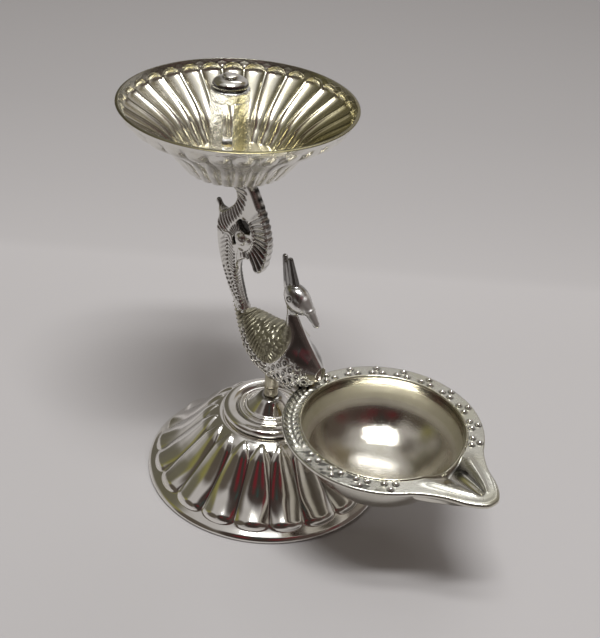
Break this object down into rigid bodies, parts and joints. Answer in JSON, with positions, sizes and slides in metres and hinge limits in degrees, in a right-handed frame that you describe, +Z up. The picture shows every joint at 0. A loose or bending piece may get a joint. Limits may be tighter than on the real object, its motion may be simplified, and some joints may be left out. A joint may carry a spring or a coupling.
{
  "type": "oil lamp stand",
  "caption": "Cast peacock on a fluted round foot that holds a spouted oil lamp at its breast and a fluted dish with a slotted post on its curled tail.",
  "frame": {"origin": "middle of the whole stand's bounding box in X and Y, at the level of the foot's rim", "axes": "+Z up, +X from the stem towards the oil lamp and its spout, +Y to the peacock's left side"},
  "size_m": [0.165, 0.0908, 0.1522],
  "materials": {
    "silver_plate": "bright silver plate over brass",
    "cast_silver_plate": "silver plate over a brass casting",
    "lamp_silver_plate": "silver plate, satin inside the bowl",
    "bare_brass": "plain turned brass"
  },
  "bodies": {
    "stand": {"base_shell": "silver_plate", "base_boss": "silver_plate", "foot_collar": "cast_silver_plate", "foot_washer": "bare_brass", "foot_nut": "bare_brass", "peacock_figure": "cast_silver_plate", "oil_lamp": "lamp_silver_plate", "lamp_screw": "bare_brass", "upper_dish": "silver_plate", "dish_washer": "bare_brass", "dish_stud": "bare_brass", "slotted_post": "cast_silver_plate"},
    "knob": {"post_knob": "silver_plate"}
  },
  "joints": [
    {"name": "knob_lift", "type": "slide", "parent": "stand", "child": "knob", "axis": [0, 0, 1], "range_m": [0, 0.0036]}
  ]
}
